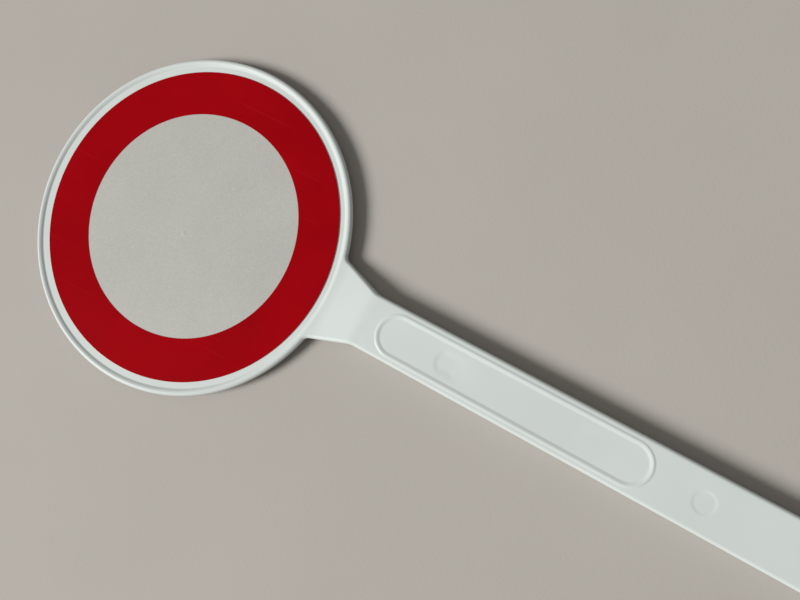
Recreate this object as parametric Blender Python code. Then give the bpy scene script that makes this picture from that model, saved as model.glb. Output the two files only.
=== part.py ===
"""Hand-held traffic signalling disc.

One moulding makes the thin disc, the neck and the front half of the handle. A cover closes the back
of the handle and is held by two screws. Each side of the disc carries a reflective sheet and a red
ring. The paddle lies on the back of its handle, front face up. Shapes are drawn about the centre of
the disc: u runs along the handle, v across it, and z is the height above the mid-plane. The cover is
drawn front up as well and turned over.
"""

import math

import bmesh
import bpy
from mathutils import Vector

MM = 0.001

# Overall sizes
OVERALL_LENGTH = 386 * MM
DISC_DIAMETER = 152 * MM
RIM_THICKNESS = 3.6 * MM
HANDLE_WIDTH = 23.4 * MM
HANDLE_THICKNESS = 10 * MM

# Walls of the hollow handle and the joint with its cover
WALL = 2.0 * MM
EDGE_RADIUS = 1.7 * MM
CLEARANCE = 0.3 * MM
COVER_FROM_NECK = 2.5 * MM
HOLLOW_CORNER_RADIUS = 5.0 * MM
TONGUE_THICKNESS = 1.0 * MM
TONGUE_SHOULDER = 0.8 * MM
FUSE = 0.5 * MM

# Rim of the disc
RIM_HEIGHT = 0.9 * MM
RIM_CREST = 2.1 * MM
RIM_FOOT = 3.5 * MM

# Neck between the disc and the handle
NECK_REACH = 17.4 * MM
NECK_ROOT_WIDTH = 37.2 * MM
NECK_ROOT_FILLET = 3.0 * MM
NECK_END_FILLET = 8.0 * MM
END_CORNER_RADIUS = 9.0 * MM

# Recess in the grip, the fine lip round the front one and the round marks over the screws
RECESS_START = 25.0 * MM
RECESS_LENGTH = 116.0 * MM
RECESS_BORDER = 3.4 * MM
RECESS_DEPTH = 0.3 * MM
RECESS_SLOPE = 1.45 * MM
LIP_HEIGHT = 0.2 * MM
LIP_CREST = 0.35 * MM
LIP_SLOPE = 0.8 * MM
MARK_DIAMETER = 9.2 * MM
MARK_DEPTH = 0.15 * MM

# Reflective sheet and red ring
SHEET_MARGIN = 2.5 * MM
SHEET_SHIFT = 0.65 * MM
SHEET_SIDE_SHIFT = 0.25 * MM
SHEET_THICKNESS = 0.2 * MM
RING_WIDTH = 19.4 * MM
RING_THICKNESS = 0.1 * MM
RING_HOLE_SHIFT = 1.0 * MM
ADHESIVE = 0.03 * MM

# Screws and the bosses that take them
UPPER_SCREW_FROM_DISC = 55.3 * MM
LOWER_SCREW_FROM_END = 72.4 * MM
SHANK_DIAMETER = 3.5 * MM
PAN_HEAD_DIAMETER = 6.8 * MM
PAN_HEAD_HEIGHT = 2.4 * MM
PAN_HEAD_SIDE = 1.3 * MM
PAN_HEAD_FLAT = 4.2 * MM
PAN_HEAD_SINK = 0.9 * MM
DRIVE_SPAN = 3.4 * MM
DRIVE_SLOT = 0.9 * MM
DRIVE_DEPTH = 1.0 * MM
PILOT_DEPTH_IN_WALL = 0.8 * MM
BOSS_WALL = 1.8 * MM
TIP_LENGTH = 1.2 * MM
TIP_DIAMETER = 1.8 * MM

# Facets
DISC_STEPS = 72
FILLET_STEPS = 4
END_STEPS = 6
ROUNDING_STEPS = 4
BOSS_STEPS = 20
STADIUM_STEPS = 10
FLATNESS = 0.0001 * MM
SHARP_ANGLE = math.radians(30)

# Places worked out from the sizes
DISC_RADIUS = DISC_DIAMETER / 2
HALF_WIDTH = HANDLE_WIDTH / 2
HANDLE_FACE = HANDLE_THICKNESS / 2
RIM_TOP = RIM_THICKNESS / 2
FLOOR = RIM_TOP - RIM_HEIGHT
FLOOR_RADIUS = DISC_RADIUS - RIM_FOOT
SHEET_RADIUS = FLOOR_RADIUS - SHEET_MARGIN
RECESS_FLOOR = HANDLE_FACE - RECESS_DEPTH
HANDLE_CEILING = RECESS_FLOOR - WALL
PARTING = CLEARANCE / 2
HANDLE_END = OVERALL_LENGTH - DISC_RADIUS
COVER_START = DISC_RADIUS + NECK_REACH + COVER_FROM_NECK
RECESS_HALF = HALF_WIDTH - RECESS_BORDER
UPPER_SCREW = DISC_RADIUS + UPPER_SCREW_FROM_DISC
LOWER_SCREW = HANDLE_END - LOWER_SCREW_FROM_END
BORE_RADIUS = SHANK_DIAMETER / 2 + CLEARANCE
HEAD_SHELF = HANDLE_FACE - PAN_HEAD_SINK - PAN_HEAD_HEIGHT - CLEARANCE
PILOT_END = HANDLE_CEILING + PILOT_DEPTH_IN_WALL


def clear_scene():
    for thing in list(bpy.data.objects):
        bpy.data.objects.remove(thing)


def material(name, colour, roughness, metallic=0.0):
    made = bpy.data.materials.new(name)
    made.use_nodes = True
    shader = made.node_tree.nodes["Principled BSDF"]
    shader.inputs["Base Color"].default_value = (*colour, 1.0)
    shader.inputs["Roughness"].default_value = roughness
    shader.inputs["Metallic"].default_value = metallic
    return made


def is_flat(face):
    return all(abs((v.co - face.verts[0].co).dot(face.normal)) < FLATNESS for v in face.verts)


def add_piece(name, bm, finish, parent):
    """Makes one object of a closed bmesh, with its faces flat and pointing out."""
    bm.normal_update()
    bmesh.ops.triangulate(bm, faces=[face for face in bm.faces if not is_flat(face)])
    bmesh.ops.recalc_face_normals(bm, faces=bm.faces)
    mesh = bpy.data.meshes.new(name)
    bm.to_mesh(mesh)
    bm.free()
    mesh.shade_smooth()
    mesh.set_sharp_from_angle(angle=SHARP_ANGLE)
    piece = bpy.data.objects.new(name, mesh)
    bpy.context.scene.collection.objects.link(piece)
    piece.parent = parent
    if finish:
        mesh.materials.append(finish)
    return piece


def shape(piece, name, bm, operation, solver="EXACT"):
    """Joins a helper solid to a piece, cuts the piece with it or keeps what lies inside it."""
    helper = add_piece(f"{piece.name}_{name}", bm, None, piece)
    helper.hide_render = True
    helper.display_type = "WIRE"
    step = piece.modifiers.new(name, "BOOLEAN")
    step.operation = operation
    step.solver = solver
    step.object = helper


def together(solids):
    """Several separate solids as one bmesh."""
    joined = bmesh.new()
    for solid in solids:
        mesh = bpy.data.meshes.new("solid")
        solid.to_mesh(mesh)
        solid.free()
        joined.from_mesh(mesh)
        bpy.data.meshes.remove(mesh)
    return joined


def arc(centre, radius, start, end, steps):
    """Points on an arc, both ends included, in the plan."""
    angles = [start + (end - start) * i / steps for i in range(steps + 1)]
    return [centre + radius * Vector((math.cos(a), math.sin(a))) for a in angles]


def angle_of(vector):
    return math.atan2(vector.y, vector.x)


def lower_outline():
    """The plan outline below the handle's axis, from the disc's far edge round to the butt end.

    The two numbers are the places in the list where the neck's slope starts and ends.
    """
    root = Vector((math.sqrt(DISC_RADIUS**2 - (NECK_ROOT_WIDTH / 2) ** 2), -NECK_ROOT_WIDTH / 2))
    neck_end = Vector((DISC_RADIUS + NECK_REACH, -HALF_WIDTH))
    along = (neck_end - root).normalized()
    out = Vector((along.y, -along.x))
    # The root fillet touches the disc's edge and the flare.
    start = root + out * NECK_ROOT_FILLET
    reach = along.dot(start)
    excess = start.length_squared - (DISC_RADIUS + NECK_ROOT_FILLET) ** 2
    root_centre = start + along * (math.sqrt(reach**2 - excess) - reach)
    disc_end = angle_of(root_centre)
    disc_steps = round(DISC_STEPS * (math.pi + disc_end) / math.tau)
    points = arc(Vector((0, 0)), DISC_RADIUS, -math.pi, disc_end, disc_steps)
    points += arc(root_centre, NECK_ROOT_FILLET, disc_end + math.pi, angle_of(-out), FILLET_STEPS)[1:]
    slope_start = len(points) - 1
    # The end fillet touches the flare and the handle's edge.
    setback = NECK_END_FILLET * math.tan(angle_of(along) / 2)
    end_centre = neck_end - along * setback + out * NECK_END_FILLET
    points += arc(end_centre, NECK_END_FILLET, angle_of(-out), math.pi / 2, FILLET_STEPS)
    slope_end = slope_start + 1
    corner = Vector((HANDLE_END - END_CORNER_RADIUS, END_CORNER_RADIUS - HALF_WIDTH))
    points += arc(corner, END_CORNER_RADIUS, -math.pi / 2, 0, END_STEPS)
    return points, slope_start, slope_end


def plan_outline():
    """The whole plan outline, anticlockwise from the disc's far edge, and the slope's two places."""
    half, slope_start, slope_end = lower_outline()
    mirrored = [Vector((p.x, -p.y)) for p in reversed(half)]
    return half + mirrored[:-1], slope_start, slope_end


def hollow_outline():
    """The plan outline of the hollow in the handle, anticlockwise."""
    low = COVER_START + CLEARANCE + WALL + HOLLOW_CORNER_RADIUS
    high = HANDLE_END - WALL - HOLLOW_CORNER_RADIUS
    side = HALF_WIDTH - WALL - HOLLOW_CORNER_RADIUS
    plan = []
    for quarter, corner in enumerate(((low, -side), (high, -side), (high, side), (low, side))):
        start = math.pi + math.pi / 2 * quarter
        plan += arc(Vector(corner), HOLLOW_CORNER_RADIUS, start, start + math.pi / 2, FILLET_STEPS)
    return plan


def inset(points, distance):
    """The outline moved inwards by a distance, edge by edge."""
    made = []
    for i, point in enumerate(points):
        edges = (point - points[i - 1], points[(i + 1) % len(points)] - point)
        a, b = (Vector((-e.y, e.x)).normalized() for e in edges)
        made.append(point + (a + b) * distance / (1 + a.dot(b)))
    return made


def loops_to_bmesh(loops, closed=False):
    """A bmesh of rings of points, each joined to the next by quads, and the vertices by ring."""
    bm = bmesh.new()
    rings = [[bm.verts.new(p) for p in loop] for loop in loops]
    pairs = list(zip(rings, rings[1:]))
    if closed:
        pairs.append((rings[-1], rings[0]))
    for low, high in pairs:
        for i in range(len(low)):
            bm.faces.new((low[i - 1], low[i], high[i], high[i - 1]))
    return bm, rings


def capped(loops):
    """A closed solid of stacked rings, with flat ends."""
    bm, rings = loops_to_bmesh(loops)
    bm.faces.new(reversed(rings[0]))
    bm.faces.new(rings[-1])
    return bm


def whole_body():
    """The plan outline at full thickness, alike on both faces, with rounded edges.

    Each face is level on the disc, rises over the neck and is level again on the handle.
    """
    outline, slope_start, slope_end = plan_outline()
    low, high = outline[slope_start].x, outline[slope_end].x
    shares = [min(1.0, max(0.0, (p.x - low) / (high - low))) for p in outline]
    tops = [RIM_TOP + (HANDLE_FACE - RIM_TOP) * share for share in shares]
    half = []
    for step in range(ROUNDING_STEPS + 1):
        a = math.pi / 2 * step / ROUNDING_STEPS
        plan = inset(outline, EDGE_RADIUS * (1 - math.cos(a)))
        half.append([(*p, top - EDGE_RADIUS * (1 - math.sin(a))) for p, top in zip(plan, tops)])
    mirrored = [[(u, v, -z) for u, v, z in loop] for loop in reversed(half)]
    bm, rings = loops_to_bmesh(mirrored + half)
    far_start = len(outline) - slope_start
    far_end = len(outline) - slope_end
    for crest in (rings[0], rings[-1]):
        bm.faces.new(crest[far_start:] + crest[: slope_start + 1])
        bm.faces.new(crest[slope_start : slope_end + 1] + crest[far_end : far_start + 1])
        bm.faces.new(crest[slope_end : far_end + 1])
    return bm


def handle_block(start, low, high):
    """A block that holds the handle from this place to beyond its end, between two heights."""
    side = HALF_WIDTH + FUSE
    end = HANDLE_END + FUSE
    plan = ((start, -side), (end, -side), (end, side), (start, side))
    return capped([[(*p, z) for p in plan] for z in (low, high)])


def hollow_cutter():
    outline = hollow_outline()
    return capped([[(*p, z) for p in outline] for z in (-HANDLE_CEILING, HANDLE_CEILING)])


def turned(profile, steps, place=0.0):
    """A closed outline of (radius, height) points turned about an upright axis at a place along u."""
    bm = bmesh.new()
    points = [bm.verts.new((place + r, 0, z)) for r, z in profile]
    edges = [bm.edges.new((points[i - 1], points[i])) for i in range(len(points))]
    bmesh.ops.spin(
        bm,
        geom=points + edges,
        axis=(0, 0, 1),
        cent=(place, 0, 0),
        angle=math.tau,
        steps=steps,
        use_merge=True,
    )
    bmesh.ops.remove_doubles(bm, verts=bm.verts, dist=FLATNESS)
    axis_edges = [e for e in bm.edges if not e.link_faces]
    bmesh.ops.delete(bm, geom=axis_edges, context="EDGES")
    return bm


def post(radius, low, high, place):
    return turned([(0, low), (radius, low), (radius, high), (0, high)], BOSS_STEPS, place)


def tongue():
    """A band inside the joint, fused to the front of the handle and standing into the cover."""
    outline = hollow_outline()
    inner = CLEARANCE + TONGUE_THICKNESS
    low = CLEARANCE - HANDLE_CEILING
    top = HANDLE_CEILING + FUSE
    profile = (
        (-FUSE, TONGUE_SHOULDER),
        (CLEARANCE, TONGUE_SHOULDER),
        (CLEARANCE, low),
        (inner, low),
        (inner, top),
        (-FUSE, top),
    )
    loops = [[(*p, z) for p in inset(outline, distance)] for distance, z in profile]
    return loops_to_bmesh(loops, closed=True)[0]


def stadium(half_width, z):
    """A ring of points round the grip's recess at this half width and height."""
    first = Vector((DISC_RADIUS + RECESS_START + RECESS_HALF, 0))
    last = first + Vector((RECESS_LENGTH - 2 * RECESS_HALF, 0))
    plan = arc(last, half_width, -math.pi / 2, math.pi / 2, STADIUM_STEPS)
    plan += arc(first, half_width, math.pi / 2, math.pi * 1.5, STADIUM_STEPS)
    return [(*p, z) for p in plan]


def recess_cutter(top):
    rise = RECESS_SLOPE / (top - RECESS_FLOOR)
    return capped(
        (
            stadium(RECESS_HALF - RECESS_SLOPE, RECESS_FLOOR),
            stadium(RECESS_HALF + rise * FUSE, top + FUSE),
        )
    )


def lip():
    crest_half = RECESS_HALF + LIP_CREST
    spread = LIP_SLOPE / LIP_HEIGHT * FUSE
    return capped(
        (
            stadium(crest_half + LIP_SLOPE + spread, HANDLE_FACE - FUSE),
            stadium(crest_half, HANDLE_FACE + LIP_HEIGHT),
        )
    )


def seat(facing):
    """The space above the disc's floor, inside the rim, on the front (1) or the back (-1)."""
    crest = DISC_RADIUS - RIM_CREST
    above = RIM_TOP + FUSE
    profile = [(0, FLOOR), (FLOOR_RADIUS, FLOOR), (crest, RIM_TOP), (crest, above), (0, above)]
    return turned([(r, z * facing) for r, z in profile], DISC_STEPS)


def paddle_body(finish, parent):
    boss = BORE_RADIUS + BOSS_WALL
    bosses = [post(boss, PARTING, HANDLE_CEILING + FUSE, place) for place in (UPPER_SCREW, LOWER_SCREW)]
    pilots = [post(BORE_RADIUS, -FUSE, PILOT_END, place) for place in (UPPER_SCREW, LOWER_SCREW)]
    marks = [
        post(MARK_DIAMETER / 2, RECESS_FLOOR - MARK_DEPTH, HANDLE_FACE, UPPER_SCREW),
        post(MARK_DIAMETER / 2, HANDLE_FACE - MARK_DEPTH, HANDLE_FACE + FUSE, LOWER_SCREW),
    ]
    body = add_piece("paddle_body", whole_body(), finish, parent)
    shape(body, "seats", together([seat(1), seat(-1)]), "DIFFERENCE")
    shape(body, "cover_place", handle_block(COVER_START, -HANDLE_FACE - FUSE, PARTING), "DIFFERENCE")
    shape(body, "hollow", hollow_cutter(), "DIFFERENCE")
    shape(body, "bosses", together(bosses), "UNION")
    shape(body, "lip", lip(), "UNION")
    shape(body, "recess", recess_cutter(HANDLE_FACE + LIP_HEIGHT), "DIFFERENCE")
    shape(body, "bores", together(pilots + marks), "DIFFERENCE")
    shape(body, "tongue", tongue(), "UNION", "MANIFOLD")


def handle_cover(finish, parent):
    head = PAN_HEAD_DIAMETER / 2 + CLEARANCE
    above = HANDLE_FACE + FUSE
    bore = [(0, -FUSE), (BORE_RADIUS, -FUSE), (BORE_RADIUS, HEAD_SHELF)]
    bore += [(head, HEAD_SHELF), (head, above), (0, above)]
    bosses = []
    bores = []
    for place in (UPPER_SCREW, LOWER_SCREW):
        bosses.append(post(head + BOSS_WALL, PARTING, HANDLE_CEILING + FUSE, place))
        bores.append(turned(bore, BOSS_STEPS, place))
    cover = add_piece("handle_cover", whole_body(), finish, parent)
    cover.rotation_euler.x = math.pi
    shape(cover, "back_half", handle_block(COVER_START + CLEARANCE, PARTING, above), "INTERSECT")
    shape(cover, "hollow", hollow_cutter(), "DIFFERENCE")
    shape(cover, "bosses", together(bosses), "UNION")
    shape(cover, "recess", recess_cutter(HANDLE_FACE), "DIFFERENCE")
    shape(cover, "bores", together(bores), "DIFFERENCE")


def circle(radius, z, shift=0.0):
    plan = arc(Vector((shift, 0)), radius, 0, math.tau, DISC_STEPS)
    return [(*p, z) for p in plan[:-1]]


def sheet_and_ring(side, turn, sheet_finish, ring_finish, parent):
    """The reflective sheet on one side of the disc and the red ring that lies on it."""
    sheet = add_piece(
        f"{side}_reflective_sheet",
        capped((circle(SHEET_RADIUS, 0), circle(SHEET_RADIUS, SHEET_THICKNESS))),
        sheet_finish,
        parent,
    )
    ring_hole = SHEET_RADIUS - RING_WIDTH
    loops = (
        circle(SHEET_RADIUS, 0),
        circle(SHEET_RADIUS, RING_THICKNESS),
        circle(ring_hole, RING_THICKNESS, RING_HOLE_SHIFT),
        circle(ring_hole, 0, RING_HOLE_SHIFT),
    )
    ring = add_piece(f"{side}_red_ring", loops_to_bmesh(loops, closed=True)[0], ring_finish, parent)
    facing = math.cos(turn)
    for piece, height in (
        (sheet, FLOOR + ADHESIVE),
        (ring, FLOOR + SHEET_THICKNESS + 2 * ADHESIVE),
    ):
        piece.rotation_euler.x = turn
        piece.location = (SHEET_SHIFT, SHEET_SIDE_SHIFT, height * facing)


def drive_cutter():
    """A cross-shaped prism for the screwdriver's recess, cut down from the head's top."""
    span = DRIVE_SPAN / 2
    slot = DRIVE_SLOT / 2
    quarter = [Vector((span, -slot)), Vector((span, slot)), Vector((slot, slot))]
    plan = []
    for _ in range(4):
        plan += [p.copy() for p in quarter]
        quarter = [Vector((-p.y, p.x)) for p in quarter]
    low = PAN_HEAD_HEIGHT - DRIVE_DEPTH
    return capped([[(*p, z) for p in plan] for z in (low, PAN_HEAD_HEIGHT + FUSE)])


def handle_screw(name, place, finish, parent):
    """A screw drawn head up about its own axis, and turned over to enter from the back."""
    head = PAN_HEAD_DIAMETER / 2
    shank = SHANK_DIAMETER / 2
    under_head = HEAD_SHELF + CLEARANCE
    tip = -(under_head + PILOT_END - CLEARANCE)
    profile = [
        (0, tip),
        (TIP_DIAMETER / 2, tip),
        (shank, tip + TIP_LENGTH),
        (shank, 0),
        (head, 0),
        (head, PAN_HEAD_SIDE),
        (PAN_HEAD_FLAT / 2, PAN_HEAD_HEIGHT),
        (0, PAN_HEAD_HEIGHT),
    ]
    piece = add_piece(name, turned(profile, BOSS_STEPS), finish, parent)
    shape(piece, "drive", drive_cutter(), "DIFFERENCE")
    piece.rotation_euler.x = math.pi
    piece.location = (place, 0, -under_head)


def build():
    clear_scene()
    paddle = bpy.data.objects.new("paddle", None)
    bpy.context.scene.collection.objects.link(paddle)
    paddle.location = (DISC_RADIUS - OVERALL_LENGTH / 2, 0, HANDLE_FACE)
    white = material("white_moulding", (0.80, 0.82, 0.79), 0.38)
    reflective = material("reflective_sheet", (0.60, 0.61, 0.57), 0.55)
    red = material("red_ring", (0.36, 0.004, 0.010), 0.35)
    steel = material("screw_steel", (0.62, 0.62, 0.60), 0.32, 1.0)
    paddle_body(white, paddle)
    handle_cover(white, paddle)
    sheet_and_ring("front", 0.0, reflective, red, paddle)
    sheet_and_ring("rear", math.pi, reflective, red, paddle)
    handle_screw("upper_handle_screw", UPPER_SCREW, steel, paddle)
    handle_screw("lower_handle_screw", LOWER_SCREW, steel, paddle)


build()
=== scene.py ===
"""Looks of the traffic signalling disc on its handle.

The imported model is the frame. Each of its pieces is modelled again with smooth edges and fine
moulded detail, in the same place, and gets a finish made of nodes. Lengths are in metres.
"""

import math

import bmesh
import bpy
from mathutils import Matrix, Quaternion, Vector


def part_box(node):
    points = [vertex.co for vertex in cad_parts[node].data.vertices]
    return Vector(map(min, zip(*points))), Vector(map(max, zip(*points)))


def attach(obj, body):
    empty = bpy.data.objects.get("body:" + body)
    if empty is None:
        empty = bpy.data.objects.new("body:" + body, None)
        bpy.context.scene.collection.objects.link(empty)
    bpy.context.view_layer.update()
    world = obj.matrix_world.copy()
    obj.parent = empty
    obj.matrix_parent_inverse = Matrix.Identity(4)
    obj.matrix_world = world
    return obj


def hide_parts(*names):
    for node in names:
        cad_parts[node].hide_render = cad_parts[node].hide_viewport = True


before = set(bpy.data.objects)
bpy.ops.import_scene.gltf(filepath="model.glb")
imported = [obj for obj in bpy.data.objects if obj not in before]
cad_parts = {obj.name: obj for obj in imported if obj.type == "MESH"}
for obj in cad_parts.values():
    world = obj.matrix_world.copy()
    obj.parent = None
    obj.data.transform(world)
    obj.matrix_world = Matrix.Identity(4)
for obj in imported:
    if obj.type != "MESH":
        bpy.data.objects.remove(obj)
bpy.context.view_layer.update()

MM = 0.001

# Places and sizes read from the frame
BODY_LOW, BODY_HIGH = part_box("paddle_body")
COVER_LOW, COVER_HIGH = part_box("handle_cover")
FRONT_SHEET_LOW, FRONT_SHEET_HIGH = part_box("front_reflective_sheet")
REAR_SHEET_LOW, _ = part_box("rear_reflective_sheet")
FRONT_RING_LOW, FRONT_RING_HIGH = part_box("front_red_ring")
UPPER_SCREW_LOW, UPPER_SCREW_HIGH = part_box("upper_handle_screw")
LOWER_SCREW_LOW, LOWER_SCREW_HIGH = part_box("lower_handle_screw")
DISC_RADIUS = BODY_HIGH.y
DISC_X = BODY_LOW.x + DISC_RADIUS
BUTT_X = BODY_HIGH.x
HALF_WIDTH = COVER_HIGH.y
MID = (FRONT_SHEET_HIGH.z + REAR_SHEET_LOW.z) / 2
COVER_X = COVER_LOW.x
PARTING_GAP = 2 * (MID - COVER_HIGH.z)
NECK_WALL_X = COVER_X - PARTING_GAP
SHEET_X = (FRONT_SHEET_LOW.x + FRONT_SHEET_HIGH.x) / 2
SHEET_Y = (FRONT_SHEET_LOW.y + FRONT_SHEET_HIGH.y) / 2
SHEET_Z = FRONT_SHEET_LOW.z - MID
SHEET_RADIUS = FRONT_SHEET_HIGH.y - SHEET_Y
SHEET_THICKNESS = FRONT_SHEET_HIGH.z - FRONT_SHEET_LOW.z
RING_Z = FRONT_RING_LOW.z - MID
RING_THICKNESS = FRONT_RING_HIGH.z - FRONT_RING_LOW.z
UPPER_SCREW_X = (UPPER_SCREW_LOW.x + UPPER_SCREW_HIGH.x) / 2
LOWER_SCREW_X = (LOWER_SCREW_LOW.x + LOWER_SCREW_HIGH.x) / 2
SCREW_PLACES = (UPPER_SCREW_X, LOWER_SCREW_X)
HEAD_RADIUS = UPPER_SCREW_HIGH.y
HEAD_TOP_Z = UPPER_SCREW_LOW.z
TIP_Z = UPPER_SCREW_HIGH.z

# The disc, the neck and the handle's outline, with heights above the disc's mid-plane
RIM_TOP = 1.8 * MM
LIP_RISE = 0.272 * MM
HANDLE_FACE = BODY_HIGH.z - MID - LIP_RISE
EDGE_RADIUS = 1.5 * MM
SEAT_RADIUS = DISC_RADIUS - 1.4 * MM
NECK_END_X = DISC_X + DISC_RADIUS + 17.4 * MM
NECK_ROOT_HALF = 18.6 * MM
NECK_ROOT_X = DISC_X + math.sqrt(DISC_RADIUS**2 - NECK_ROOT_HALF**2)
ROOT_FILLET_REACH = 1.6 * MM
NECK_FILLET_REACH = 1.4 * MM
BUTT_CORNER = 9.0 * MM
SLOPE_START_X = DISC_X + DISC_RADIUS + 0.6 * MM
SLOPE_END_X = NECK_END_X - 1.3 * MM
SLOPE_SOFTNESS = 1.8 * MM

# The recess, its lip and the two sink marks on the handle's face
RECESS_START_X = DISC_X + DISC_RADIUS + 25.2 * MM
RECESS_LENGTH = 116.6 * MM
RECESS_HALF = 8.3 * MM
RECESS_X = RECESS_START_X + RECESS_HALF
RECESS_RUN = RECESS_LENGTH - 2 * RECESS_HALF
LIP_FOOT_HALF = 9.65 * MM
SINK_START_X = UPPER_SCREW_X - 5.0 * MM
SINK_RADIUS = 6.2 * MM
SINK_STRETCH = 7 * MM
SINK_NARROWING = (0.9, 0.98)
LOWER_MARK_X = LOWER_SCREW_X + 0.8 * MM
LOWER_MARK_RADIUS = 5.0 * MM

# The inside of the handle and the back of its cover
WALL = 2.0 * MM
HOLLOW_DEPTH = 2.55 * MM
BORE_RADIUS = 2.05 * MM
PILOT_DEPTH = 3.35 * MM
HEAD_BORE_RADIUS = HEAD_RADIUS + 0.3 * MM
HEAD_SHELF_Z = 3.6 * MM
BOSS_TOP_RADIUS = 3.5 * MM
REAR_RECESS_DEPTH = 0.3 * MM
COVER_OVERRUN = 4 * EDGE_RADIUS

# The films on the disc
RING_HOLE_RADIUS = 50.6 * MM
RING_HOLE_SHIFT = 1.0 * MM
FILM_EDGE = 0.05 * MM
PIP_X = DISC_X + 0.9 * MM
PIP_Y = -4.6 * MM
PIP_RADIUS = 1.6 * MM

# The handle's screws
HEAD_HEIGHT = 2.4 * MM
HEAD_SIDE = 1.2 * MM
SHANK_CORE = 1.3 * MM
SHANK_CREST = 1.75 * MM
THREAD_TURNS = 5
THREAD_PITCH = 0.64 * MM
TIP_TAPER = 0.5
CROSS_SLOT = 0.85 * MM
CROSS_ARM = 1.2 * MM
CROSS_DEPTH = 1.0 * MM
CROSS_TAPER = 0.86

# How finely round edges are drawn
DISC_POINTS = 288
DISC_GAP_ANGLE = math.radians(16)
FILLET_POINTS = 8
BUTT_POINTS = 14
EDGE_STEPS = 6
STADIUM_POINTS = 96
MARK_POINTS = 48
SCREW_POINTS = 48
NECK_ROWS = 16
SMOOTH_ANGLE = math.radians(32)

# How near two places are to count as one, and how level a face is to count as flat
NEAR = 0.002 * MM
WELD = NEAR / 2
SAME_ROW = NEAR / 20
ROW_DIGITS = 7
FLAT = 0.99

# Steps across a round form, each the way in and the way up or down, in millimetres
SEAT_STEPS = (
    (0.3, -0.03), (0.35, -0.1), (0.35, -0.17), (0.3, -0.22), (0.3, -0.24), (0.2, -0.11),
    (0.3, -0.03),
)
LIP_STEPS = ((0.22, 0.04), (0.3, 0.11), (0.25, 0.09), (0.1, 0.03), (0.25, 0.0), (0.15, -0.02))
RECESS_STEPS = ((0.25, -0.04), (0.3, -0.1), (0.3, -0.125), (0.3, -0.095), (0.3, -0.04))
REAR_RECESS_STEPS = ((0.25, -0.03), (0.3, -0.07), (0.35, -0.1), (0.3, -0.07), (0.25, -0.03))
SINK_STEPS = (
    (0.6, -0.014), (0.7, -0.05), (0.7, -0.08), (0.7, -0.065), (0.6, -0.03), (0.4, -0.01),
)
LOWER_MARK_STEPS = ((0.35, -0.02), (0.45, -0.06), (0.45, -0.06), (0.35, -0.02))
BORE_EDGE_STEPS = ((0.1, -0.05), (0.05, -0.1))
PIP_STEPS = ((0.35, 0.01), (0.35, 0.03), (0.3, 0.035), (0.3, 0.015))
HEAD_STEPS = ((0.12, 0.3), (0.24, 0.32), (0.36, 0.3), (0.5, 0.28))


# Modelling steps: what each one selects and does


def begin():
    """Leaves the last piece with nothing selected, so that the next primitive starts a new one."""
    if bpy.context.mode != "OBJECT":
        bpy.ops.object.mode_set(mode="OBJECT")
    bpy.ops.object.select_all(action="DESELECT")


def edit(name):
    """Puts the new primitive's place in its mesh, names it and opens it for editing."""
    piece = bpy.context.object
    piece.name = name
    piece.data.name = name
    bpy.ops.object.transform_apply(location=True, rotation=True, scale=True)
    bpy.ops.object.mode_set(mode="EDIT")
    return piece


def select_all():
    bpy.ops.mesh.select_all(action="SELECT")


def select_none():
    bpy.ops.mesh.select_all(action="DESELECT")


def select(kind, test):
    """Selects the vertices, edges or faces that pass a test, and nothing else."""
    bpy.ops.mesh.select_mode(type=kind)
    select_none()
    mesh = bpy.context.edit_object.data
    bm = bmesh.from_edit_mesh(mesh)
    for item in {"VERT": bm.verts, "EDGE": bm.edges, "FACE": bm.faces}[kind]:
        if test(item):
            item.select_set(True)
    bmesh.update_edit_mesh(mesh)


def select_nearest(*points):
    """Selects the vertex nearest to each point."""
    bm = bmesh.from_edit_mesh(bpy.context.edit_object.data)
    chosen = {min(bm.verts, key=lambda v: (v.co - Vector(p)).length).index for p in points}
    select("VERT", lambda v: v.index in chosen)


def at_level(z):
    """A test for an edge or face that lies at one height."""
    return lambda item: all(abs(v.co.z - z) < NEAR for v in item.verts)


def is_open(edge):
    return len(edge.link_faces) == 1


def open_edges_at(z):
    level = at_level(z)
    return lambda e: is_open(e) and level(e)


def flat_face(x, y, facing=1):
    """A test for the large face that looks up, or down with facing -1, and lies round a point."""

    def test(face):
        if face.normal.z * facing < FLAT:
            return False
        xs = [v.co.x for v in face.verts]
        ys = [v.co.y for v in face.verts]
        return min(xs) < x < max(xs) and min(ys) < y < max(ys) and len(xs) > MARK_POINTS // 2

    return test


def move(x=0.0, y=0.0, z=0.0):
    bpy.ops.transform.translate(value=(x, y, z))


def scale(x, y, z, centre):
    bpy.ops.transform.resize(value=(x, y, z), center_override=centre)


def extrude(x=0.0, y=0.0, z=0.0):
    bpy.ops.mesh.extrude_region_move(TRANSFORM_OT_translate={"value": (x, y, z)})


def inset(across, up=0.0):
    bpy.ops.mesh.inset(thickness=across, depth=up, use_even_offset=True)


def inset_steps(steps):
    """Insets the selected face step by step, each (in, up) in millimetres."""
    for across, up in steps:
        inset(across * MM, up * MM)


def round_edge(radius):
    """Insets the selected face up and over a quarter-round edge."""
    angles = [math.pi / 2 * i / EDGE_STEPS for i in range(EDGE_STEPS + 1)]
    for a, b in zip(angles, angles[1:]):
        inset(radius * (math.cos(a) - math.cos(b)), radius * (math.sin(b) - math.sin(a)))


def outward():
    """Turns all faces of the piece outwards."""
    select_all()
    bpy.ops.mesh.normals_make_consistent(inside=False)


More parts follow.
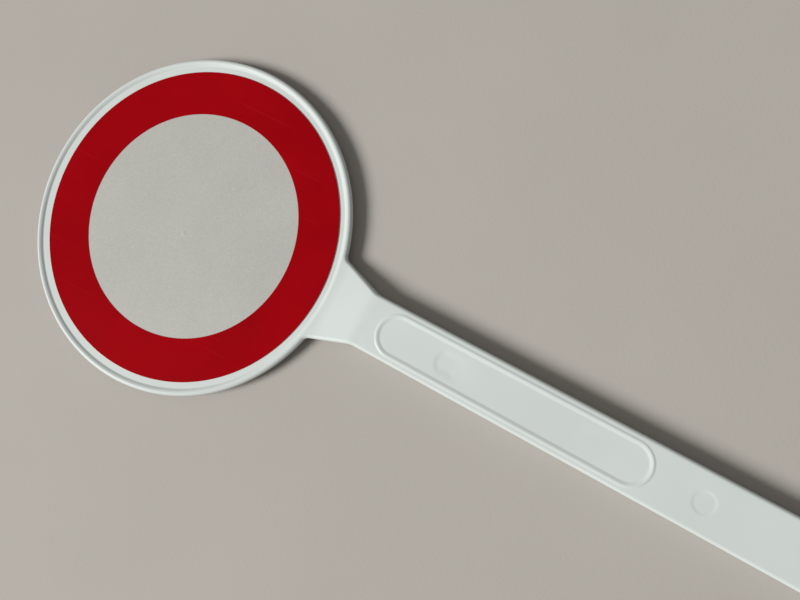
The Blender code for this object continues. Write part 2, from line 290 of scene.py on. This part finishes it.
def add_circle(x, y, z, radius, points, stretch=0.0):
    """Draws a filled circle into the piece, or a stadium if it is stretched along x."""
    select_none()
    turn = math.pi / points
    bpy.ops.mesh.primitive_circle_add(
        vertices=points, radius=radius, fill_type="NGON", location=(x, y, z), rotation=(0, 0, turn)
    )
    if stretch:
        bm = bmesh.from_edit_mesh(bpy.context.edit_object.data)
        right = {v.index for v in bm.verts if v.select and v.co.x > x}
        select("VERT", lambda v: v.index in right)
        move(x=stretch)


def set_into(face_test, z, *circles):
    """Opens a flat face, draws circles or stadiums into it and closes the face round them."""
    select("FACE", face_test)
    bpy.ops.mesh.delete(type="ONLY_FACE")
    for x, y, radius, points, stretch in circles:
        add_circle(x, y, z, radius, points, stretch)
    select("EDGE", open_edges_at(z))
    bpy.ops.mesh.fill(use_beauty=True)
    outward()


def finish_piece(piece, node, body, finish):
    """Closes a modelled piece: smooth shading, its finish, and what it stands for."""
    outward()
    bpy.ops.object.mode_set(mode="OBJECT")
    bpy.ops.object.shade_smooth_by_angle(angle=SMOOTH_ANGLE)
    weighted = piece.modifiers.new("even_shading", "WEIGHTED_NORMAL")
    weighted.keep_sharp = True
    bpy.ops.object.modifier_apply(modifier=weighted.name)
    piece.data.materials.clear()
    piece.data.materials.append(finish)
    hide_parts(node)
    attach(piece, body)


# The paddle's body


def draw_outline():
    """Draws the plan outline at the mid-plane: most of a circle, then neck and handle as lines."""
    begin()
    bpy.ops.mesh.primitive_circle_add(
        vertices=DISC_POINTS, radius=DISC_RADIUS, fill_type="NOTHING", location=(DISC_X, 0, MID)
    )
    piece = edit("body_shell")
    gap_x = DISC_X + DISC_RADIUS * math.cos(DISC_GAP_ANGLE)
    select("VERT", lambda v: v.co.x > gap_x)
    bpy.ops.mesh.delete(type="VERT")
    neck_root = (NECK_ROOT_X, NECK_ROOT_HALF)
    neck_end = (NECK_END_X, HALF_WIDTH)
    butt = (BUTT_X, HALF_WIDTH)
    for side in (-1, 1):
        select_nearest((gap_x, side * DISC_RADIUS * math.sin(DISC_GAP_ANGLE), MID))
        bm = bmesh.from_edit_mesh(piece.data)
        here = next(v.co.copy() for v in bm.verts if v.select)
        for x, half in (neck_root, neck_end, butt):
            extrude(x - here.x, side * half - here.y)
            here = Vector((x, side * half, MID))
    select_nearest((BUTT_X, -HALF_WIDTH, MID), (BUTT_X, HALF_WIDTH, MID))
    bpy.ops.mesh.edge_face_add()
    for (x, half), reach, points in (
        (neck_root, ROOT_FILLET_REACH, FILLET_POINTS),
        (neck_end, NECK_FILLET_REACH, FILLET_POINTS),
        (butt, BUTT_CORNER, BUTT_POINTS),
    ):
        select_nearest((x, -half, MID), (x, half, MID))
        bpy.ops.mesh.bevel(offset=reach, segments=points, affect="VERTICES")
    select_all()
    bpy.ops.mesh.edge_face_add()
    return piece


def neck_rise(x):
    """How far the neck stands above the rim at this place, with soft creases at both ends."""

    def area(t):
        return 0.0 if t < 0 else t * t / 2 if t < 1 else t - 0.5

    run = SLOPE_END_X - SLOPE_START_X
    t = (x - SLOPE_START_X) / run
    soft = SLOPE_SOFTNESS / run
    return (HANDLE_FACE - RIM_TOP) * (area(t + soft) - area(t - soft)) / (2 * soft)


def raise_neck(piece):
    """Cuts rows across the neck and raises each row, then the handle, to its height."""
    first = SLOPE_START_X - SLOPE_SOFTNESS
    for row in range(NECK_ROWS + 1):
        x = first + (NECK_WALL_X - first) * row / NECK_ROWS
        select_all()
        bpy.ops.mesh.bisect(plane_co=(x, 0, 0), plane_no=(1, 0, 0))
    bm = bmesh.from_edit_mesh(piece.data)
    on_neck = [v.co.x for v in bm.verts if first < v.co.x < NECK_WALL_X + NEAR]
    for x in sorted({round(place, ROW_DIGITS) for place in on_neck}):
        select("VERT", lambda v: abs(v.co.x - x) < SAME_ROW and v.co.z > MID + NEAR)
        move(z=neck_rise(x))
    select("VERT", lambda v: v.co.x > NECK_WALL_X + NEAR and v.co.z > MID + NEAR)
    move(z=HANDLE_FACE - RIM_TOP)


def mark_handle_face():
    """Sets the lower mark, the recess with its lip, and the long sink mark into the handle."""
    face = MID + HANDLE_FACE
    set_into(
        flat_face(LOWER_SCREW_X, 0),
        face,
        (RECESS_X, 0, LIP_FOOT_HALF, STADIUM_POINTS, RECESS_RUN),
        (LOWER_MARK_X, 0, LOWER_MARK_RADIUS, MARK_POINTS, 0),
    )
    select("FACE", flat_face(LOWER_SCREW_X, 0))
    inset_steps(LOWER_MARK_STEPS)
    select("FACE", flat_face(UPPER_SCREW_X, 0))
    inset_steps(LIP_STEPS + RECESS_STEPS)
    floor = face + sum(up for _, up in LIP_STEPS + RECESS_STEPS) * MM
    sink = (SINK_START_X + SINK_RADIUS, 0, SINK_RADIUS, MARK_POINTS, SINK_STRETCH)
    set_into(flat_face(UPPER_SCREW_X, 0), floor, sink)
    select("FACE", flat_face(UPPER_SCREW_X, 0))
    for step in SINK_STEPS:
        inset_steps((step,))
        scale(*SINK_NARROWING, 1, centre=(SINK_START_X, 0, floor))


def add_back():
    """Mirrors the disc and the neck to the back, and closes the open underside of the handle."""
    select("FACE", lambda f: f.normal.z < -FLAT)
    bpy.ops.mesh.delete(type="FACE")
    select("FACE", lambda f: f.calc_center_median().x < NECK_WALL_X)
    bpy.ops.mesh.duplicate()
    scale(1, 1, -1, centre=(0, 0, MID))
    bpy.ops.mesh.flip_normals()
    select_all()
    bpy.ops.mesh.remove_doubles(threshold=WELD)
    select("VERT", lambda v: abs(v.co.z - MID) < NEAR and v.co.x > NECK_WALL_X - NEAR)
    move(z=PARTING_GAP / 2)
    select(
        "EDGE", lambda e: is_open(e) and all(abs(v.co.x - NECK_WALL_X) < NEAR for v in e.verts)
    )
    bpy.ops.mesh.edge_face_add()
    select("EDGE", is_open)
    bpy.ops.mesh.edge_face_add()
    outward()


def hollow_out(z, facing, boss_radius):
    """Sinks the hollow into the handle's joint face, leaving its wall and the screws' bosses."""
    bosses = [(x, 0, boss_radius, MARK_POINTS, 0) for x in SCREW_PLACES]
    set_into(flat_face(LOWER_SCREW_X, 0, facing), z, *bosses)
    on_joint = at_level(z)
    select("FACE", lambda f: on_joint(f) and len(f.verts) < MARK_POINTS)
    inset(WALL)
    extrude(z=-HOLLOW_DEPTH * facing)


def paddle_body(finish):
    """Disc, rim, neck and the front of the handle."""
    piece = draw_outline()
    extrude(z=RIM_TOP - EDGE_RADIUS)
    outward()
    select("FACE", flat_face(DISC_X, 0))
    round_edge(EDGE_RADIUS)
    raise_neck(piece)
    set_into(flat_face(DISC_X, 0), MID + RIM_TOP, (DISC_X, 0, SEAT_RADIUS, DISC_POINTS, 0))
    select("FACE", flat_face(DISC_X, 0))
    inset_steps(SEAT_STEPS)
    mark_handle_face()
    add_back()
    hollow_out(MID + PARTING_GAP / 2, -1, BORE_RADIUS)
    select("FACE", lambda f: f.normal.z < -FLAT and len(f.verts) == MARK_POINTS)
    extrude(z=PILOT_DEPTH)
    finish_piece(piece, "paddle_body", "root", finish)


# The cover on the back of the handle


def bore_cover(x):
    """Sinks the counterbore for a screw's head and opens the hole for its shank."""
    select("FACE", flat_face(x, 0, -1))
    inset_steps(BORE_EDGE_STEPS)
    bm = bmesh.from_edit_mesh(bpy.context.edit_object.data)
    mouth = next(f for f in bm.faces if f.select).verts[0].co.z
    extrude(z=HEAD_SHELF_Z - mouth)
    shelf = HEAD_BORE_RADIUS - sum(across for across, _ in BORE_EDGE_STEPS) * MM
    inset(shelf - BORE_RADIUS)
    bpy.ops.mesh.delete(type="ONLY_FACE")
    select("FACE", flat_face(x, 0))
    inset(BOSS_TOP_RADIUS - BORE_RADIUS)
    bpy.ops.mesh.delete(type="ONLY_FACE")
    select("EDGE", is_open)
    bpy.ops.mesh.bridge_edge_loops()
    outward()


def handle_cover(finish):
    """The back of the handle, drawn too long and cut off square where it meets the neck."""
    begin()
    start = COVER_X - COVER_OVERRUN
    bpy.ops.mesh.primitive_plane_add(size=2, location=((start + BUTT_X) / 2, 0, COVER_HIGH.z))
    bpy.context.object.scale = ((BUTT_X - start) / 2, HALF_WIDTH, 1)
    piece = edit("back_cover")
    select_nearest((BUTT_X, -HALF_WIDTH, COVER_HIGH.z), (BUTT_X, HALF_WIDTH, COVER_HIGH.z))
    bpy.ops.mesh.bevel(offset=BUTT_CORNER, segments=BUTT_POINTS, affect="VERTICES")
    select_all()
    extrude(z=EDGE_RADIUS - COVER_HIGH.z)
    outward()
    select("FACE", flat_face(UPPER_SCREW_X, 0, -1))
    round_edge(EDGE_RADIUS)
    select_all()
    bpy.ops.mesh.bisect(
        plane_co=(COVER_X, 0, 0), plane_no=(1, 0, 0), clear_inner=True, use_fill=True
    )
    outward()
    set_into(
        flat_face(LOWER_SCREW_X, 0, -1),
        0.0,
        (RECESS_X, 0, RECESS_HALF, STADIUM_POINTS, RECESS_RUN),
        (LOWER_SCREW_X, 0, HEAD_BORE_RADIUS, MARK_POINTS, 0),
    )
    select("FACE", flat_face(UPPER_SCREW_X, 0, -1))
    inset_steps(REAR_RECESS_STEPS)
    set_into(
        flat_face(UPPER_SCREW_X, 0, -1),
        REAR_RECESS_DEPTH,
        (UPPER_SCREW_X, 0, HEAD_BORE_RADIUS, MARK_POINTS, 0),
    )
    hollow_out(COVER_HIGH.z, 1, BOSS_TOP_RADIUS)
    for x in SCREW_PLACES:
        bore_cover(x)
    finish_piece(piece, "handle_cover", "root", finish)


# The films on both sides of the disc


def reflective_sheet(side, facing, finish):
    """The round white sheet. The front one shows a small pip of the moulding below it."""
    begin()
    low = MID + SHEET_Z * facing
    bpy.ops.mesh.primitive_circle_add(
        vertices=DISC_POINTS,
        radius=SHEET_RADIUS,
        fill_type="NGON",
        location=(SHEET_X, SHEET_Y, low),
    )
    piece = edit(f"{side}_sheet")
    select_all()
    extrude(z=(SHEET_THICKNESS - FILM_EDGE) * facing)
    outward()
    select("FACE", flat_face(SHEET_X, 0, facing))
    round_edge(FILM_EDGE)
    if facing > 0:
        pip = (PIP_X, PIP_Y, PIP_RADIUS, MARK_POINTS, 0)
        set_into(flat_face(SHEET_X, 0), low + SHEET_THICKNESS, pip)
        select("FACE", flat_face(PIP_X, PIP_Y))
        inset_steps(PIP_STEPS)
    finish_piece(piece, f"{side}_reflective_sheet", "root", finish)


def red_ring(side, facing, finish):
    """The red ring, with its hole a little off centre."""
    begin()
    low = MID + RING_Z * facing
    bpy.ops.mesh.primitive_circle_add(
        vertices=DISC_POINTS,
        radius=SHEET_RADIUS,
        fill_type="NOTHING",
        location=(SHEET_X, SHEET_Y, low),
    )
    piece = edit(f"{side}_ring")
    bpy.ops.mesh.primitive_circle_add(
        vertices=DISC_POINTS,
        radius=RING_HOLE_RADIUS,
        fill_type="NOTHING",
        location=(SHEET_X + RING_HOLE_SHIFT, SHEET_Y, low),
    )
    select_all()
    bpy.ops.mesh.bridge_edge_loops()
    select_all()
    rise = (RING_THICKNESS - FILM_EDGE) * facing
    extrude(z=rise)
    outward()
    select("FACE", at_level(low + rise))
    inset(FILM_EDGE, FILM_EDGE)
    finish_piece(piece, f"{side}_red_ring", "root", finish)


# The handle's screws


def draw_cross(x, z):
    """Draws a flat cross into the piece: a small square with an arm from each side."""
    select_none()
    bpy.ops.mesh.primitive_plane_add(size=CROSS_SLOT, location=(x, 0, z))
    half = CROSS_SLOT / 2
    for along, across in ((1, 0), (-1, 0), (0, 1), (0, -1)):
        middle = Vector((x + along * half, across * half, z))
        select("EDGE", lambda e: ((e.verts[0].co + e.verts[1].co) / 2 - middle).length < NEAR)
        extrude(along * CROSS_ARM, across * CROSS_ARM)


def sink_cross(x):
    """Opens the top of the head, draws the cross into it and sinks it with a taper."""
    select("FACE", flat_face(x, 0, -1))
    bpy.ops.mesh.delete(type="ONLY_FACE")
    draw_cross(x, HEAD_TOP_Z)
    select("EDGE", open_edges_at(HEAD_TOP_Z))
    bpy.ops.mesh.fill(use_beauty=True)
    outward()
    on_top = at_level(HEAD_TOP_Z)
    reach = CROSS_SLOT / 2 + CROSS_ARM

    def in_cross(face):
        if not on_top(face) or len(face.verts) != 4:
            return False
        middle = face.calc_center_median()
        away = sorted((abs(middle.x - x), abs(middle.y)))
        return away[0] < CROSS_SLOT / 4 and away[1] < reach

    select("FACE", in_cross)
    extrude(z=CROSS_DEPTH)
    scale(CROSS_TAPER, CROSS_TAPER, 1, centre=(x, 0, 0))


def add_shank(x, under_head):
    """Draws the shank out of the head's underside, with a crest for each turn of the thread."""
    select("FACE", flat_face(x, 0))
    inset(HEAD_RADIUS - SHANK_CORE)
    wider = SHANK_CREST / SHANK_CORE
    for _ in range(THREAD_TURNS):
        for factor in (wider, 1 / wider):
            extrude(z=THREAD_PITCH / 2)
            scale(factor, factor, 1, centre=(x, 0, 0))
    extrude(z=TIP_Z - under_head - THREAD_TURNS * THREAD_PITCH)
    scale(TIP_TAPER, TIP_TAPER, 1, centre=(x, 0, 0))


def handle_screws(finish):
    """Pan-headed screws with a cross recess: the upper one, drawn head down, and its copy."""
    begin()
    x = UPPER_SCREW_X
    under_head = HEAD_TOP_Z + HEAD_HEIGHT
    bpy.ops.mesh.primitive_circle_add(
        vertices=SCREW_POINTS, radius=HEAD_RADIUS, fill_type="NGON", location=(x, 0, under_head)
    )
    piece = edit("upper_screw")
    select_all()
    extrude(z=-HEAD_SIDE)
    outward()
    select("FACE", flat_face(x, 0, -1))
    inset_steps(HEAD_STEPS)
    sink_cross(x)
    add_shank(x, under_head)
    finish_piece(piece, "upper_handle_screw", "root", finish)
    begin()
    piece.select_set(True)
    bpy.context.view_layer.objects.active = piece
    bpy.ops.object.duplicate(linked=False)
    copy = bpy.context.object
    copy.name = "lower_screw"
    copy.data.name = "lower_screw"
    bpy.ops.object.mode_set(mode="EDIT")
    select_all()
    move(x=LOWER_SCREW_X - UPPER_SCREW_X)
    finish_piece(copy, "lower_handle_screw", "root", finish)


# Finishes: small helpers for nodes, three shared effects, then one finish each

# Places of the colour sockets on a Mix node
MIX_COLOUR_A = 6
MIX_COLOUR_B = 7
MIX_COLOUR_OUT = 2

# Stretches of a noise that an effect uses, from where it starts to where it is full
WHOLE_SPAN = (0.0, 1.0)
MOTTLE_SPAN = (0.35, 0.65)
WIDE_SPAN = (0.3, 0.7)
SCRATCHED_PATCH = (0.54, 0.64)
SCRATCH_LINE = (0.68, 0.76)
FEW_SPECKS = (0.7, 0.75)

SCRATCH_DIRECTIONS = (math.radians(24), math.radians(-58))
SCRATCH_STRETCH = (0.02, 1, 1)


def add_node(tree, kind, settings=(), values=()):
    """Adds a shader node, with its settings and the values of its sockets."""
    made = tree.nodes.new(f"ShaderNode{kind}")
    for name, value in dict(settings).items():
        setattr(made, name, value)
    for name, value in dict(values).items():
        made.inputs[name].default_value = value
    return made


def math_node(tree, operation, first, second):
    """Adds a sum, product or the like of a socket and a socket or number."""
    made = add_node(tree, "Math", {"operation": operation})
    tree.links.new(first, made.inputs[0])
    if isinstance(second, (int, float)):
        made.inputs[1].default_value = second
    else:
        tree.links.new(second, made.inputs[1])
    return made.outputs[0]


def between(tree, value, span, limits=WHOLE_SPAN):
    """Maps a value's span onto the stretch between two limits, and holds it at the ends."""
    values = {"From Min": span[0], "From Max": span[1], "To Min": limits[0], "To Max": limits[1]}
    made = add_node(tree, "MapRange", values=values)
    tree.links.new(value, made.inputs["Value"])
    return made.outputs["Result"]


def mix_colours(tree, share, first, second):
    """Mixes two colours or colour sockets, by a share that changes over the surface."""
    made = add_node(tree, "Mix", {"data_type": "RGBA"})
    tree.links.new(share, made.inputs["Factor"])
    for place, colour in ((MIX_COLOUR_A, first), (MIX_COLOUR_B, second)):
        if isinstance(colour, tuple):
            made.inputs[place].default_value = (*colour, 1.0)
        else:
            tree.links.new(colour, made.inputs[place])
    return made.outputs[MIX_COLOUR_OUT]


def red_channel(tree, colour):
    """The red channel of a colour, as a value."""
    made = add_node(tree, "SeparateColor")
    tree.links.new(colour, made.inputs["Color"])
    return made.outputs["Red"]


def new_group(name, inputs, outputs):
    """Starts a node group of number sockets and returns it with its input and output nodes."""
    group = bpy.data.node_groups.new(name, "ShaderNodeTree")
    for label, value in inputs:
        socket = group.interface.new_socket(label, in_out="INPUT", socket_type="NodeSocketFloat")
        socket.default_value = value
    for label in outputs:
        group.interface.new_socket(label, in_out="OUTPUT", socket_type="NodeSocketFloat")
    return group, group.nodes.new("NodeGroupInput"), group.nodes.new("NodeGroupOutput")


def use_group(tree, group, **values):
    """Places a shared effect in a finish, with the finish's own values."""
    made = tree.nodes.new("ShaderNodeGroup")
    made.node_tree = group
    for name, value in values.items():
        made.inputs[name].default_value = value
    return made


def grain_group():
    """A fine even grain and a broad soft mottle, each a value from 0 to 1."""
    scales = (("Grain", 1500), ("Mottle", 30))
    group, given, out = new_group("surface_grain", scales, ("Grain", "Mottle"))
    place = add_node(group, "TexCoord")
    for label, detail in (("Grain", 2.0), ("Mottle", 3.0)):
        noise = add_node(group, "TexNoise", values={"Detail": detail})
        group.links.new(place.outputs["Object"], noise.inputs["Vector"])
        group.links.new(given.outputs[label], noise.inputs["Scale"])
        group.links.new(noise.outputs["Fac"], out.inputs[label])
    return group


def scratch_group():
    """Sparse thin scratches: noise drawn out along two directions and kept only in patches."""
    group, given, out = new_group("thin_scratches", (("Width", 900), ("Patch", 22)), ("Mask",))
    place = add_node(group, "TexCoord")
    patch = add_node(group, "TexNoise", values={"Detail": 1.0})
    group.links.new(place.outputs["Object"], patch.inputs["Vector"])
    group.links.new(given.outputs["Patch"], patch.inputs["Scale"])
    kept = between(group, patch.outputs["Fac"], SCRATCHED_PATCH)
    thin = []
    for direction in SCRATCH_DIRECTIONS:
        turn = {"Rotation": (0, 0, direction), "Scale": SCRATCH_STRETCH}
        turned = add_node(group, "Mapping", values=turn)
        group.links.new(place.outputs["Object"], turned.inputs["Vector"])
        lines = add_node(group, "TexNoise", values={"Detail": 1.0})
        group.links.new(turned.outputs["Vector"], lines.inputs["Vector"])
        group.links.new(given.outputs["Width"], lines.inputs["Scale"])
        thin.append(between(group, lines.outputs["Fac"], SCRATCH_LINE))
    either = math_node(group, "MAXIMUM", *thin)
    group.links.new(math_node(group, "MULTIPLY", either, kept), out.inputs["Mask"])
    return group


def speck_group():
    """A few tiny round specks: dust and pinholes on the white moulding, painted glints on the
    reflective film.
    """
    group, given, out = new_group("tiny_specks", (("Spread", 160), ("Size", 0.06)), ("Mask",))
    place = add_node(group, "TexCoord")
    cells = add_node(group, "TexVoronoi")
    group.links.new(place.outputs["Object"], cells.inputs["Vector"])
    group.links.new(given.outputs["Spread"], cells.inputs["Scale"])
    inside = math_node(group, "LESS_THAN", cells.outputs["Distance"], given.outputs["Size"])
    few = between(group, red_channel(group, cells.outputs["Color"]), FEW_SPECKS)
    group.links.new(math_node(group, "MULTIPLY", inside, few), out.inputs["Mask"])
    return group


def new_finish(name):
    made = bpy.data.materials.new(name)
    made.use_nodes = True
    return made, made.node_tree, made.node_tree.nodes["Principled BSDF"]


def mottled(tree, texture, colour, shade, span=MOTTLE_SPAN):
    """A colour that drifts to its shade with the mottle."""
    return mix_colours(tree, between(tree, texture.outputs["Mottle"], span), colour, shade)


def marked(tree, colour, mask, mark, strength):
    """A colour with marks of another colour where a mask is."""
    return mix_colours(tree, math_node(tree, "MULTIPLY", mask, strength), colour, mark)


def set_roughness(tree, shader, texture, scratch, limits, scuffed):
    """Roughness that drifts between two limits with the mottle and rises in the scratches."""
    rough = between(tree, texture.outputs["Mottle"], WIDE_SPAN, limits)
    rough = math_node(tree, "ADD", rough, math_node(tree, "MULTIPLY", scratch, scuffed))
    tree.links.new(rough, shader.inputs["Roughness"])


def add_bump(tree, shader, height, depth):
    bump = add_node(tree, "Bump", values={"Strength": 1.0, "Distance": depth})
    tree.links.new(height, bump.inputs["Height"])
    tree.links.new(bump.outputs["Normal"], shader.inputs["Normal"])


WHITE = (0.660, 0.702, 0.668)
WHITE_SHADE = (0.630, 0.670, 0.638)
WHITE_SCUFF = (0.56, 0.585, 0.56)
WHITE_SPECK = (0.36, 0.35, 0.32)
SHEET_GREY = (0.505, 0.502, 0.455)
SHEET_SHADE = (0.435, 0.432, 0.392)
# Painted glint: the light colour of the specks on the reflective film, standing in for its sparkle
SHEET_PAINTED_GLINT = (0.60, 0.60, 0.56)
SHEET_MOTTLE = (0.0, 0.4)
SHEET_BEADS = (0.0, 0.6)
SHEET_ROUGHNESS = 0.46
SHEET_SCUFFED = 0.12
RED = (0.345, 0.0022, 0.0052)
RED_SHADE = (0.303, 0.0018, 0.0045)
RED_SCUFF = (0.39, 0.012, 0.016)
STEEL = (0.62, 0.62, 0.60)
STEEL_SHADE = (0.46, 0.46, 0.45)
FLOOR = (0.465, 0.432, 0.390)
FLOOR_SHADE = (0.445, 0.413, 0.373)


def white_moulding(grain, scratches, specks):
    """Satin moulded plastic with a faint mottle, hair scratches and a few specks."""
    made, tree, shader = new_finish("white_moulding")
    texture = use_group(tree, grain, Grain=2600, Mottle=26)
    scratch = use_group(tree, scratches, Width=1400, Patch=24).outputs["Mask"]
    speck = use_group(tree, specks, Spread=150, Size=0.035).outputs["Mask"]
    colour = mottled(tree, texture, WHITE, WHITE_SHADE)
    colour = marked(tree, colour, scratch, WHITE_SCUFF, strength=0.35)
    colour = marked(tree, colour, speck, WHITE_SPECK, strength=0.55)
    tree.links.new(colour, shader.inputs["Base Color"])
    set_roughness(tree, shader, texture, scratch, limits=(0.25, 0.31), scuffed=0.15)
    shader.inputs["Specular IOR Level"].default_value = 0.1
    height = math_node(tree, "SUBTRACT", texture.outputs["Grain"], scratch)
    add_bump(tree, shader, height, depth=0.004 * MM)
    return made


def reflective_sheet_finish(grain, scratches, specks):
    """Greyish reflective film: fine beads that differ a little in brightness, over a mottle, with
    painted glints at a few specks.
    """
    made, tree, shader = new_finish("reflective_sheet")
    texture = use_group(tree, grain, Grain=2200, Mottle=34)
    scratch = use_group(tree, scratches, Width=1100, Patch=30).outputs["Mask"]
    speck = use_group(tree, specks, Spread=420, Size=0.12).outputs["Mask"]
    place = add_node(tree, "TexCoord")
    beads = add_node(tree, "TexVoronoi", values={"Scale": 1900})
    tree.links.new(place.outputs["Object"], beads.inputs["Vector"])
    mottle = between(tree, texture.outputs["Mottle"], WIDE_SPAN, SHEET_MOTTLE)
    bead = between(tree, red_channel(tree, beads.outputs["Color"]), WHOLE_SPAN, SHEET_BEADS)
    shaded = math_node(tree, "ADD", mottle, bead)
    colour = mix_colours(tree, shaded, SHEET_GREY, SHEET_SHADE)
    # Painted glints: a few specks on the film are lightened to stand in for the sparkle of its
    # beads
    colour = marked(tree, colour, speck, SHEET_PAINTED_GLINT, strength=0.5)
    tree.links.new(colour, shader.inputs["Base Color"])
    rough = math_node(tree, "MULTIPLY", scratch, SHEET_SCUFFED)
    rough = math_node(tree, "ADD", rough, SHEET_ROUGHNESS)
    tree.links.new(rough, shader.inputs["Roughness"])
    shader.inputs["Specular IOR Level"].default_value = 0.3
    add_bump(tree, shader, texture.outputs["Grain"], depth=0.006 * MM)
    return made


def red_film(grain, scratches):
    """Smooth red film with a faint mottle and pale hair scratches."""
    made, tree, shader = new_finish("red_ring")
    texture = use_group(tree, grain, Grain=1800, Mottle=28)
    scratch = use_group(tree, scratches, Width=1000, Patch=26).outputs["Mask"]
    colour = mottled(tree, texture, RED, RED_SHADE)
    colour = marked(tree, colour, scratch, RED_SCUFF, strength=0.3)
    tree.links.new(colour, shader.inputs["Base Color"])
    set_roughness(tree, shader, texture, scratch, limits=(0.2, 0.26), scuffed=0.2)
    shader.inputs["Specular IOR Level"].default_value = 0.015
    add_bump(tree, shader, texture.outputs["Grain"], depth=0.002 * MM)
    return made


def zinc_steel(grain, scratches):
    """Bright plated steel with cloudy patches and tool marks."""
    made, tree, shader = new_finish("screw_steel")
    texture = use_group(tree, grain, Grain=5200, Mottle=420)
    scratch = use_group(tree, scratches, Width=4200, Patch=260).outputs["Mask"]
    colour = mottled(tree, texture, STEEL, STEEL_SHADE)
    tree.links.new(colour, shader.inputs["Base Color"])
    set_roughness(tree, shader, texture, scratch, limits=(0.26, 0.4), scuffed=0.2)
    shader.inputs["Metallic"].default_value = 1.0
    add_bump(tree, shader, texture.outputs["Grain"], depth=0.003 * MM)
    return made


def floor_paint(grain):
    """Plain pale paint with a very faint mottle."""
    made, tree, shader = new_finish("floor_paint")
    texture = use_group(tree, grain, Grain=700, Mottle=9)
    colour = mottled(tree, texture, FLOOR, FLOOR_SHADE, span=WIDE_SPAN)
    tree.links.new(colour, shader.inputs["Base Color"])
    shader.inputs["Roughness"].default_value = 0.75
    shader.inputs["Specular IOR Level"].default_value = 0.2
    add_bump(tree, shader, texture.outputs["Grain"], depth=0.05 * MM)
    return made


# Floor, light and camera

FLOOR_SIZE = 6.0
LAMP_AT = Vector((-3.74, -3.78, 4.62))
LAMP_SIZE = 3.0
LAMP_WATTS = 548
WORLD_GREY = 0.24
CAMERA_AT = Vector((59.29, 11.40, 298.42)) * MM
CAMERA_LOOKS_AT = Vector((-14.27, 13.81, 6.9)) * MM
CAMERA_ROLL = math.radians(60.364)
CAMERA_LENS = 33.124
CAMERA_NEAREST = 0.01


def put_in_scene(name, data, place, looks_at):
    """Puts a camera or lamp in the scene, pointed at a place."""
    made = bpy.data.objects.new(name, data)
    bpy.context.scene.collection.objects.link(made)
    made.location = place
    made.rotation_mode = "QUATERNION"
    made.rotation_quaternion = (looks_at - place).to_track_quat("-Z", "Y")
    return made


def add_camera():
    data = bpy.data.cameras.new("camera")
    data.sensor_fit = "HORIZONTAL"
    data.lens = CAMERA_LENS
    data.clip_start = CAMERA_NEAREST
    camera = put_in_scene("camera", data, CAMERA_AT, CAMERA_LOOKS_AT)
    camera.rotation_quaternion @= Quaternion((0, 0, 1), -CAMERA_ROLL)
    bpy.context.scene.camera = camera


def add_floor(finish):
    begin()
    bpy.ops.mesh.primitive_plane_add(size=FLOOR_SIZE, location=(0, 0, 0))
    floor = bpy.context.object
    floor.name = "floor"
    floor.data.materials.append(finish)


def add_light():
    """One large soft lamp and a plain grey world."""
    data = bpy.data.lights.new("key_lamp", "AREA")
    data.shape = "DISK"
    data.size = LAMP_SIZE
    data.energy = LAMP_WATTS
    put_in_scene("key_lamp", data, LAMP_AT, Vector((0, 0, 0)))
    world = bpy.data.worlds.new("studio")
    bpy.context.scene.world = world
    world.use_nodes = True
    background = world.node_tree.nodes["Background"]
    background.inputs["Color"].default_value = (WORLD_GREY, WORLD_GREY, WORLD_GREY, 1)


surface_grain = grain_group()
thin_scratches = scratch_group()
tiny_specks = speck_group()
white = white_moulding(surface_grain, thin_scratches, tiny_specks)
reflective = reflective_sheet_finish(surface_grain, thin_scratches, tiny_specks)
red = red_film(surface_grain, thin_scratches)
steel = zinc_steel(surface_grain, thin_scratches)
add_camera()
add_floor(floor_paint(surface_grain))
add_light()
paddle_body(white)
handle_cover(white)
for side, facing in (("front", 1), ("rear", -1)):
    reflective_sheet(side, facing, reflective)
    red_ring(side, facing, red)
handle_screws(steel)

bpy.context.scene.view_settings.view_transform = "Standard"
begin()
